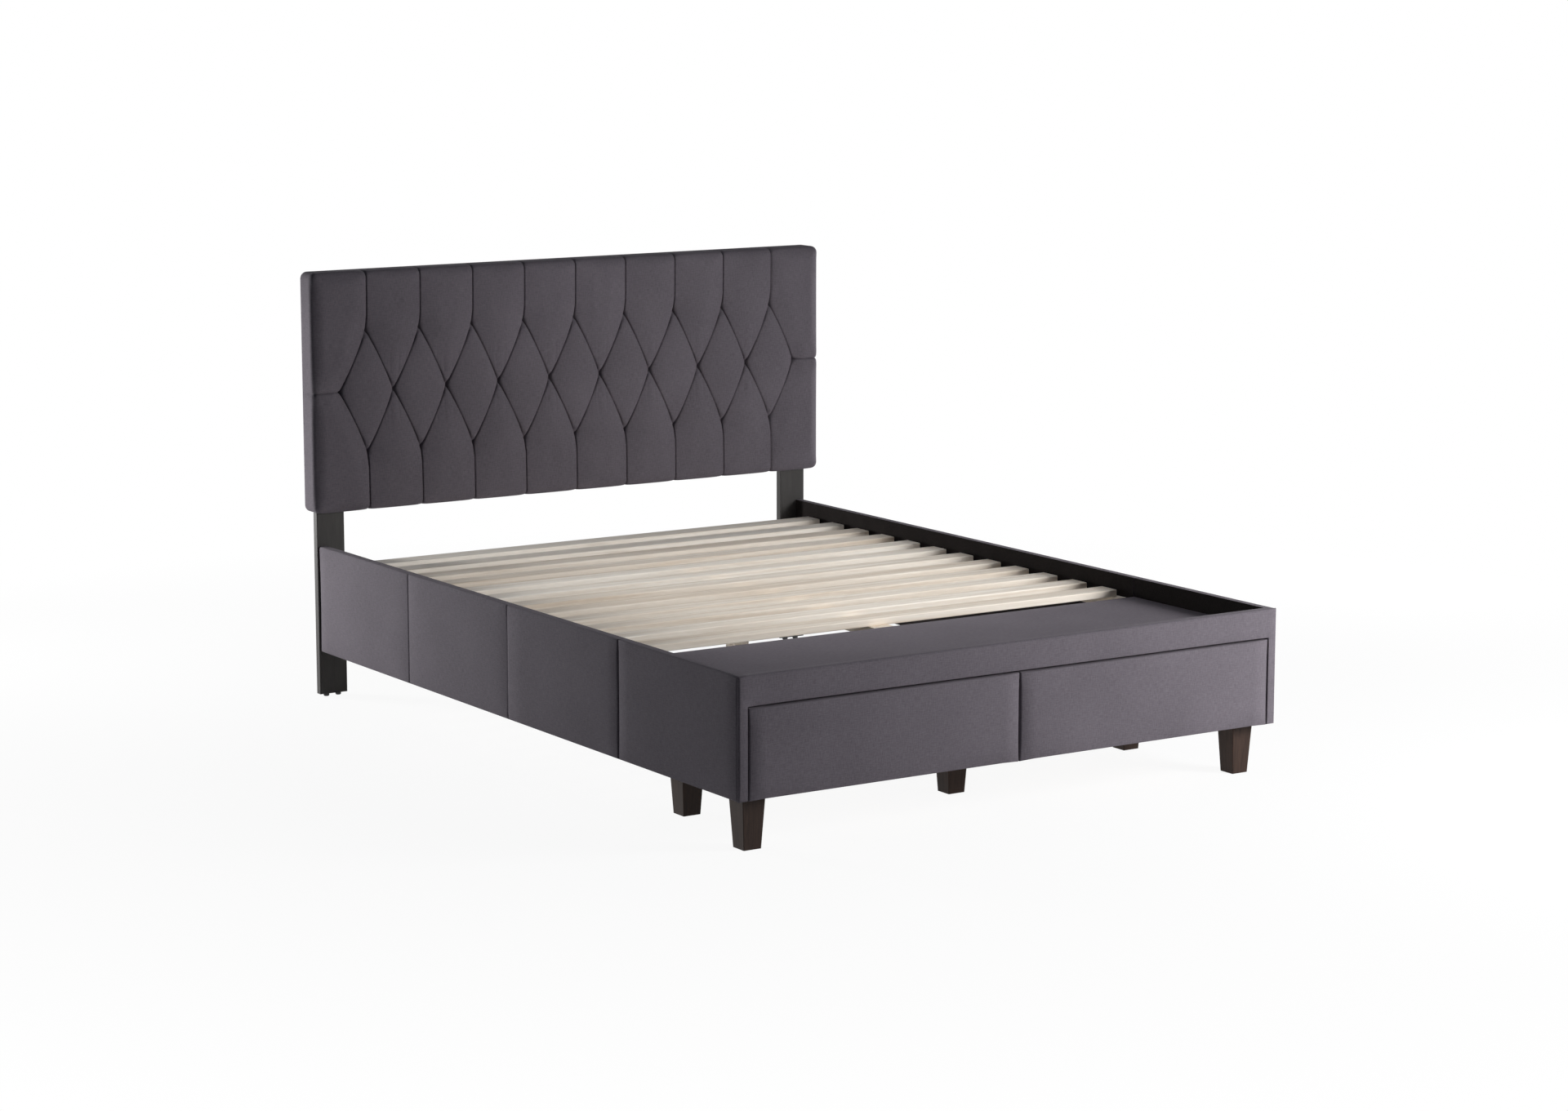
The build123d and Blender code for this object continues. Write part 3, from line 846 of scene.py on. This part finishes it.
@dataclass
class PaddedPanel:
    """A board covered with thin foam and cloth that folds round its edges."""

    cloth: Material
    # The black lining on the panels' backs is a real cloth, but its near-black colour is partly painted
    # shade.
    lining: Material
    node: str
    facing: Facing
    body: str = FRAME_BODY
    seams: tuple[float, ...] = ()
    foot_gap: float = 0.0
    padding: float = 6 * MM
    edge_radius: float = 5 * MM
    edge_segments: int = 5
    mesh_step: float = 42 * MM
    seam_depth: float = 2.6 * MM
    seam_width: float = 3.2 * MM
    seam_cuts: int = 4
    least_pull: float = 0.01
    stuffing: Stuffing = Stuffing(pressure=1.2, cap=1.6 * MM)

    def __post_init__(self) -> None:
        """Take the panel's place and size from its solid."""
        low, self.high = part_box(self.node)
        self.low = low + Vector((0, self.foot_gap, 0))
        size = self.high - self.low
        turned = self.facing is not Facing.FOOT
        self.width = size.y if turned else size.x
        self.thickness = size.x if turned else size.y
        self.height = size.z

    def placing(self) -> Matrix:
        """Find the turn and shift that put the panel where its solid is.

        Returns:
            The panel's matrix.
        """
        turn = Matrix.Rotation(math.radians(self.facing.value), 4, "Z")
        middle = (self.low + self.high) / 2
        centre = Vector((0, self.thickness / 2, self.height / 2))
        return Matrix.Translation(middle - turn @ centre) @ turn

    def shell(self) -> BMesh:
        """Make a box with a pocket in its back for the board, rounded at the front and cut fine.

        Returns:
            The panel's bmesh, with its face at y = 0 and its foot at z = 0.
        """
        shape = bmesh.new()
        size = Vector((self.width, self.thickness, self.height))
        bmesh.ops.create_cube(shape, size=1.0)
        bmesh.ops.scale(shape, vec=size, verts=shape.verts[:])
        bmesh.ops.translate(shape, vec=(0, self.thickness / 2, self.height / 2), verts=shape.verts[:])
        rear = max(shape.faces, key=lambda face: face.calc_center_median().y)
        bmesh.ops.inset_region(shape, faces=[rear], thickness=self.padding, use_even_offset=True)
        bmesh.ops.extrude_face_region(shape, geom=[rear])
        pocket = max(shape.faces, key=lambda face: face.normal.y * face.calc_area())
        bmesh.ops.translate(shape, vec=(0, self.padding - self.thickness, 0), verts=pocket.verts[:])
        bmesh.ops.delete(shape, geom=[face for face in shape.faces if face is rear], context="FACES_ONLY")
        front = edges_where(shape, lambda end: end.y < NEAR)
        round_edges(shape, front, self.edge_radius, self.edge_segments)
        half = self.width / 2 - self.edge_radius
        places = even_places(-half, half, self.mesh_step)
        cuts = [place for place in places if all(abs(place - seam) > self.mesh_step for seam in self.seams)]
        steps = range(-self.seam_cuts, self.seam_cuts + 1)
        for seam in self.seams:
            cuts += [seam + step * self.seam_width / 2 for step in steps]
        cut_across(shape, 0, cuts)
        cut_across(shape, 2, even_places(self.edge_radius, self.height - self.edge_radius, self.mesh_step))
        return shape

    def sew(self, shape: BMesh) -> None:
        """Draw the cloth in along each seam.

        Args:
            shape: the panel's bmesh, before it is put in place.
        """
        for vert in shape.verts:
            for seam in self.seams:
                pull = math.exp(-((vert.co.x - seam) / self.seam_width) ** 2)
                if vert.co.y < self.padding / 2 and pull > self.least_pull:
                    vert.co.y += self.seam_depth * pull

    def build(self) -> None:
        """Shape the panel, swell it, and let it stand for its solid."""
        shape = self.shell()
        lay_cloth(shape, shift=self.low.x + self.low.y)
        self.sew(shape)
        shape.verts.index_update()
        held = [
            vert.index
            for vert in shape.verts
            if vert.co.y > self.padding / 2
            or any(abs(vert.co.x - seam) < self.seam_width for seam in self.seams)
        ]
        for face in shape.faces:
            face.material_index = int(face.calc_center_median().y > self.thickness - NEAR)
        shape.transform(self.placing())
        bmesh.ops.recalc_face_normals(shape, faces=shape.faces[:])
        panel = as_object(self.node + "_sewn", shape, self.cloth)
        panel.data.materials.append(self.lining)
        self.stuffing.swell(panel, held)
        settle(panel, self.node, self.body)


@dataclass
class FootFacing:
    """The padded frame round the drawers: a top band and a strip down each end."""

    cloth: Material
    node: str = "front_facing"
    padding: float = 6 * MM
    edge_radius: float = 5 * MM
    opening_radius: float = 2 * MM
    edge_segments: int = 4
    mesh_step: float = 36 * MM
    weave_shift: float = 0.31
    stuffing: Stuffing = Stuffing(pressure=1.0, cap=1.2 * MM)

    def __post_init__(self) -> None:
        """Take the facing's place and size, and the opening's, from the solids."""
        self.low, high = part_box(self.node)
        rail_low, rail_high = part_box("front_rail")
        self.width, self.depth = high.x - self.low.x, high.y - self.low.y
        self.height = high.z - self.low.z
        self.inner, self.opening = rail_high.x, rail_low.z - self.low.z

    def shell(self) -> BMesh:
        """Cut the drawers' opening out of a plate and turn a lip over the front rail.

        Returns:
            The facing's bmesh, with its face at y = 0 and its foot at z = 0.
        """
        inner, fold = self.inner, self.height - self.padding
        shape = bmesh.new()
        bmesh.ops.create_grid(shape, x_segments=1, y_segments=1, size=0.5)
        bmesh.ops.rotate(shape, verts=shape.verts[:], matrix=Matrix.Rotation(math.pi / 2, 3, "X"))
        bmesh.ops.scale(shape, vec=(self.width, 1, self.height), verts=shape.verts[:])
        bmesh.ops.translate(shape, vec=(0, 0, self.height / 2), verts=shape.verts[:])
        cut_across(shape, 0, (-inner, inner))
        cut_across(shape, 2, (self.opening, fold))
        hole = faces_where(shape, lambda at: abs(at.x) < inner and at.z < self.opening)
        bmesh.ops.delete(shape, geom=hole, context="FACES")
        draw_out(shape, shape.faces[:], (0, self.padding, 0), keep=True)
        behind = self.padding - NEAR
        lip = faces_where(shape, lambda at: at.y > behind and abs(at.x) < inner and at.z > fold)
        draw_out(shape, lip, (0, self.depth - self.padding, 0), keep=False)
        bmesh.ops.recalc_face_normals(shape, faces=shape.faces[:])
        self.round_over(shape)
        side = self.width / 2 - self.edge_radius
        cut_across(shape, 0, even_places(-side, side, self.mesh_step))
        cut_across(shape, 2, even_places(self.edge_radius, fold - self.edge_radius, self.mesh_step))
        return shape

    def round_over(self, shape: BMesh) -> None:
        """Round the outer edges of the face widely, and those of the opening and the lip slightly.

        Args:
            shape: the facing's bmesh.
        """
        behind = max(vert.co.y for vert in shape.verts) - NEAR
        fold = edges_where(shape, lambda end: end.y > behind and end.z > self.height - NEAR)
        outer, rim = [], []
        for edge in edges_where(shape, lambda end: end.y < NEAR):
            middle = (edge.verts[0].co + edge.verts[1].co) / 2
            at_side = abs(abs(middle.x) - self.width / 2) < NEAR
            at_end = abs(middle.z - self.height) < NEAR or middle.z < NEAR
            beside = abs(abs(middle.x) - self.inner) < NEAR and middle.z < self.opening
            above = abs(middle.z - self.opening) < NEAR and abs(middle.x) < self.inner
            if at_side or at_end:
                outer.append(edge)
            elif beside or above:
                rim.append(edge)
        round_edges(shape, outer, self.edge_radius, self.edge_segments)
        for edges in (rim, fold):
            round_edges(shape, edges, self.opening_radius, self.edge_segments)

    def build(self) -> None:
        """Shape the facing, swell it, and let it stand for its solid."""
        shape = self.shell()
        lay_cloth(shape, shift=self.weave_shift)
        held = [vert.index for vert in shape.verts if vert.co.y > self.padding / 2]
        bmesh.ops.translate(shape, vec=(0, self.low.y, self.low.z), verts=shape.verts[:])
        facing = as_object(self.node + "_sewn", shape, self.cloth)
        self.stuffing.swell(facing, held)
        settle(facing, self.node, FRAME_BODY)


@dataclass
class PaddedDeck:
    """The padded platform over the drawers, its cloth turned down behind."""

    cloth: Material
    node: str = "deck_cover"
    padding: float = 6 * MM
    edge_radius: float = 5 * MM
    edge_segments: int = 5
    mesh_step: float = 44 * MM
    held_edge: float = 0.2 * MM
    facing_down: float = -0.5
    facing_aside: float = 0.7
    stuffing: Stuffing = Stuffing(pressure=1.5, cap=2.2 * MM)

    def build(self) -> None:
        """Fold a padded sheet over the deck's rear edge, round it, and swell it."""
        low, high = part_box(self.node)
        size = high - low
        shape = bmesh.new()
        bmesh.ops.create_cube(shape, size=1.0)
        bmesh.ops.scale(shape, vec=(size.x, size.y, self.padding), verts=shape.verts[:])
        middle = Vector((0, (low.y + high.y) / 2, high.z - self.padding / 2))
        bmesh.ops.translate(shape, vec=middle, verts=shape.verts[:])
        cut_across(shape, 1, (high.y - self.padding,))
        rear = faces_where(shape, lambda at: at.y > high.y - self.padding)
        flap = [face for face in rear if face.normal.z < self.facing_down]
        draw_out(shape, flap, (0, 0, self.padding - size.z), keep=False)
        fold = edges_where(shape, lambda end: end.y > high.y - NEAR and end.z > high.z - NEAR)
        round_edges(shape, fold, self.edge_radius, self.edge_segments)
        cut_across(shape, 0, even_places(low.x, high.x, self.mesh_step))
        cut_across(shape, 1, even_places(low.y, high.y - self.padding, self.mesh_step))
        bmesh.ops.recalc_face_normals(shape, faces=shape.faces[:])
        layer = shape.loops.layers.uv.new(CLOTH_UV)
        for face in shape.faces:
            for loop in face.loops:
                x, y, z = loop.vert.co
                loop[layer].uv = (x, y - z) if abs(face.normal.x) < self.facing_aside else (x + z, y)
        edge = self.held_edge
        held = [
            vert.index
            for vert in shape.verts
            if vert.co.z < high.z - edge or abs(vert.co.x) > high.x - edge or vert.co.y < low.y + edge
        ]
        deck = as_object(self.node + "_sewn", shape, self.cloth)
        self.stuffing.swell(deck, held)
        settle(deck, self.node, FRAME_BODY)


# Carried-over nodes

class Woodwork:
    """The bare boards, slats, legs, metal and plastic, each in its own finish."""

    pine = ("#f7f0e5", "#d7c7b4")
    espresso = ("#3b2c25", "#241a16")
    paint = ("#494746", "#3e3c3b")
    plywood = ("#dcc3a0", "#bd9d75")

    def __init__(self) -> None:
        """Make every finish once."""
        self.finishes: dict[str, Material] = {}
        for grain in Grain:
            name = "planed_pine_" + grain.name.lower()
            self.keep(StreakedWood(name, *self.pine, grain, roughness=0.62))
        for grain in (Grain.ACROSS_BED, Grain.ALONG_BED):
            name = "lacquered_plywood_" + grain.name.lower()
            self.keep(StreakedWood(name, *self.plywood, grain, streak_mm=40, roughness=0.42, coat=0.25))
        stain = {"streak_mm": 9, "streak_length_mm": 180, "roughness": 0.48, "gloss": 0.16}
        self.keep(StreakedWood("espresso_stained_beech", *self.espresso, Grain.UPRIGHT, **stain))
        coats = {"streak_mm": 30, "streak_length_mm": 300, "fibre_share": 0.6, "roughness": 0.5}
        coats.update(gloss=0.14, relief=0.06)
        self.keep(StreakedWood("charcoal_painted_board", *self.paint, Grain.UPRIGHT, **coats))
        # The boards' black lining is made as dark as the rails' inner faces look in their shade, so its
        # near-black colour is partly painted shade.
        self.keep(FeltedLining("black_lined_board", dark="#1d1a19", light="#312d2c"))
        self.keep(FeltedLining("spun_bonded_dust_cloth", dark="#212122", light="#38383a"))
        self.keep(ZincSteel())
        self.keep(MouldedNylon())

    def keep(self, finish: StreakedWood | FeltedLining | ZincSteel | MouldedNylon) -> None:
        """Make a finish and keep its material by name."""
        self.finishes[finish.name] = finish.make()

    def finish_name(self, node: str, slot: str) -> str:
        """Which finish a node takes.

        Args:
            node: the CAD node's name.
            slot: its material slot in the record.

        Returns:
            The finish's name.
        """
        lengthwise = node in ("slat_cleats", "centre_beam") or node.endswith("sides")
        grain = Grain.ALONG_BED if lengthwise else Grain.ACROSS_BED
        if node == "centre_legs":
            grain = Grain.UPRIGHT
        return {
            "pine": "planed_pine_" + grain.name.lower(),
            "drawer_board": "lacquered_plywood_" + grain.name.lower(),
            "espresso_wood": "espresso_stained_beech",
            "painted_post": "charcoal_painted_board",
            "panel_board": "black_lined_board",
            "dust_cloth": "spun_bonded_dust_cloth",
            "zinc_steel": "zinc_plated_steel",
            "black_plastic": "black_moulded_nylon",
        }[slot]

    def dress(self, covered: set[str]) -> None:
        """Give every node that still shows its finish.

        Args:
            covered: the nodes that a scene piece stands for.
        """
        for part in frame["record"]["subparts"]:
            node = part["node"]
            if node in covered:
                continue
            material = self.finishes[self.finish_name(node, part["material_slot"])]
            slots = frame["nodes"][node].data.materials
            slots.clear()
            slots.append(material)
            log.info("%s in %s", node, material.name)


# Studio

@dataclass(frozen=True)
class Lamp:
    """A square soft box."""

    name: str
    place: tuple[float, float, float]
    aim: tuple[float, float, float]
    size: float
    power: float
    spread_deg: float = 180.0

    def build(self) -> None:
        """Hang the lamp and turn it to what it lights."""
        data = bpy.data.lights.new(self.name, "AREA")
        data.shape = "SQUARE"
        data.size = self.size
        data.energy = self.power
        data.spread = math.radians(self.spread_deg)
        lamp = bpy.data.objects.new(self.name, data)
        lamp.location = self.place
        lamp.rotation_euler = (Vector(self.aim) - Vector(self.place)).to_track_quat("-Z", "Y").to_euler()
        lamp.visible_camera = False
        bpy.context.scene.collection.objects.link(lamp)


@dataclass
class Studio:
    """White floor and background, soft boxes, and the photograph's camera."""

    camera_place: tuple[float, float, float] = (-5.214, -8.0775, 2.093)
    camera_turn_deg: float = 33.026
    camera_dip_deg: float = 9.556
    lens_mm: float = 85.38
    sensor_mm: float = 36.0
    floor_size: float = 40.0
    floor_colour: str = "#f2f2f2"
    ambient: str = "#272d36"
    shadow_share: float = 0.07
    shadow_near: float = 1.3
    shadow_far: float = 3.4
    lamps: tuple[Lamp, ...] = (
        Lamp("key_right_of_foot", (2.05, -2.8, 1.25), (0.7, -1.0, 0.25), 0.9, 100.0),
        Lamp("left_behind_head", (-2.35, 3.1, 0.75), (-0.8, 0.95, 0.5), 0.8, 28.0, spread_deg=90.0),
        Lamp("over_the_foot", (-0.4, -1.2, 1.9), (0.2, -0.1, 0.38), 0.7, 0.4, spread_deg=50.0),
        Lamp("over_the_slats", (0.05, 0.0, 2.2), (0.05, 0.0, 0.38), 1.3, 1.9, spread_deg=24.0),
        Lamp("low_at_head", (1.0, -4.5, 0.9), (0.0, 1.0, 1.25), 0.6, 0.27, spread_deg=14.0),
        Lamp("right_of_bed", (3.4, 1.15, 0.4), (0.8, 0.3, 0.3), 0.6, 40.0),
        Lamp("behind_head", (0.5, 3.8, 2.3), (0.0, 1.1, 1.0), 0.8, 7.0),
    )

    def background_share(self, tree: NodeTree) -> NodeSocket:
        """Tell rays that show the background from those that light the bed.

        Args:
            tree: the world's or floor's node tree.

        Returns:
            One where a ray comes from the camera, a reflection or glass, and nought elsewhere.
        """
        path = add_node(tree, "ShaderNodeLightPath").outputs
        seen = combine(tree, "MAXIMUM", path["Is Camera Ray"], path["Is Glossy Ray"])
        return combine(tree, "MAXIMUM", seen, path["Is Transmission Ray"])

    def light_world(self) -> None:
        """A plain world that is white to look at and a dim, cool light in the shade."""
        world = bpy.data.worlds.new("studio")
        bpy.context.scene.world = world
        world.use_nodes = True
        tree = world.node_tree
        background = next(node for node in tree.nodes if node.type == "BACKGROUND")
        feed(tree, background, {"Color": blend(tree, self.background_share(tree), self.ambient, WHITE)})

    def lay_floor(self) -> None:
        """A white floor that keeps a faint shadow."""
        shape = bmesh.new()
        bmesh.ops.create_grid(shape, x_segments=2, y_segments=2, size=self.floor_size / 2)
        material, tree, shader = blank_material("white_studio_floor")
        matt = {"Base Color": linear(self.floor_colour), "Roughness": 1.0, "Specular IOR Level": 0.0}
        feed(tree, shader, matt)
        glow = add_node(tree, "ShaderNodeEmission", {"Color": linear(WHITE), "Strength": 1.0})
        place = add_node(tree, "ShaderNodeTexCoord").outputs["Object"]
        away = add_node(tree, "ShaderNodeVectorMath", {0: place}, operation="LENGTH").outputs["Value"]
        white = stretch(tree, away, (self.shadow_near, self.shadow_far), (1 - self.shadow_share, 1))
        share = combine(tree, "MULTIPLY", self.background_share(tree), white)
        mix = add_node(tree, "ShaderNodeMixShader", {0: share, 1: shader.outputs[0], 2: glow.outputs[0]})
        output = next(node for node in tree.nodes if node.type == "OUTPUT_MATERIAL")
        feed(tree, output, {"Surface": mix.outputs[0]})
        floor = as_object("studio_floor", shape, material)

    def place_camera(self) -> None:
        """Stand the camera where the photograph was taken from."""
        data = bpy.data.cameras.new("photo_view")
        data.lens = self.lens_mm
        data.sensor_width = self.sensor_mm
        camera = bpy.data.objects.new("photo_view", data)
        camera.location = self.camera_place
        dip, turn = math.radians(90 - self.camera_dip_deg), math.radians(-self.camera_turn_deg)
        camera.rotation_euler = (dip, 0, turn)
        bpy.context.scene.collection.objects.link(camera)
        bpy.context.scene.camera = camera

    def build(self) -> None:
        """Set up the world, floor, lamps and camera."""
        bpy.context.scene.view_settings.view_transform = "Standard"
        self.light_world()
        self.lay_floor()
        for lamp in self.lamps:
            lamp.build()
        self.place_camera()


def main() -> None:
    """Build the soft pieces, dress the rest and light the studio."""
    logging.basicConfig(level=logging.INFO, format="%(message)s")
    cloth = WovenCloth().make()
    woodwork = Woodwork()
    # Black lining for the panels' backs, its near-black colour partly painted shade.
    lining = woodwork.finishes["black_lined_board"]
    left_seams = (-0.278, 0.26)
    right_seams = tuple(-seam for seam in left_seams)
    gap = 1.6 * MM
    front = {"facing": Facing.FOOT, "edge_radius": 2.5 * MM}
    soft = [
        TuftedHeadboard(cloth),
        PaddedPanel(cloth, lining, "left_rail_cover", Facing.LEFT, seams=left_seams),
        PaddedPanel(cloth, lining, "right_rail_cover", Facing.RIGHT, seams=right_seams),
        PaddedPanel(cloth, lining, "left_box_cover", Facing.LEFT, foot_gap=gap),
        PaddedPanel(cloth, lining, "right_box_cover", Facing.RIGHT, foot_gap=gap),
        FootFacing(cloth),
        PaddedDeck(cloth),
        PaddedPanel(cloth, lining, "left_drawer_front_cover", body="left_drawer", **front),
        PaddedPanel(cloth, lining, "right_drawer_front_cover", body="right_drawer", **front),
    ]
    for piece in soft:
        piece.build()
    woodwork.dress({piece.node for piece in soft})
    Studio().build()


if __name__ == "__main__":
    main()
